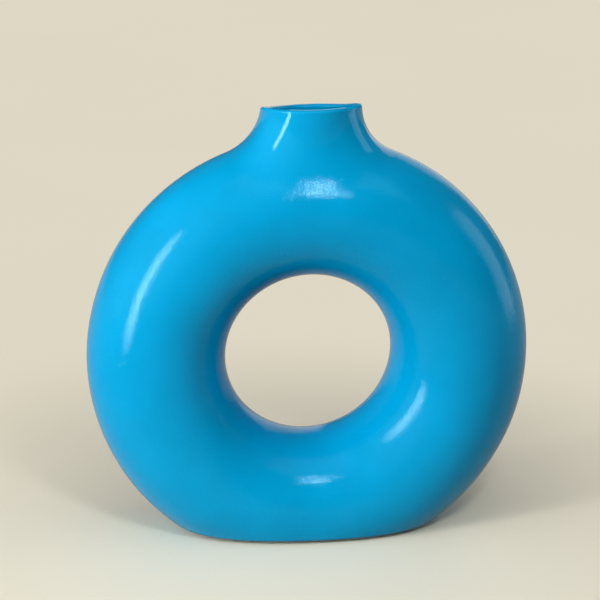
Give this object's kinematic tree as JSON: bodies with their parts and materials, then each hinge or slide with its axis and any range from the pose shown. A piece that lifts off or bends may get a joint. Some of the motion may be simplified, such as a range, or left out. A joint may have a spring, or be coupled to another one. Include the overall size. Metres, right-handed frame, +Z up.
{
  "type": "ring vase",
  "caption": "Hollow ring-shaped ceramic vase that stands upright on a flat oval foot, with a short flared neck on top for flower stems.",
  "frame": {"origin": "middle of the foot, on the surface that the vase stands on", "axes": "+Z up, X across the ring, Y along the axis of the ring's hole, with the front at -Y"},
  "size_m": [0.28, 0.0874, 0.2781],
  "materials": {
    "blue_glaze": "satin turquoise-blue glaze",
    "bare_clay": "unglazed fired buff clay"
  },
  "bodies": {
    "root": {"front_half": "blue_glaze", "rear_half": "blue_glaze", "neck_collar": "blue_glaze", "base_slab": "blue_glaze", "foot_ring": "bare_clay"}
  },
  "joints": []
}
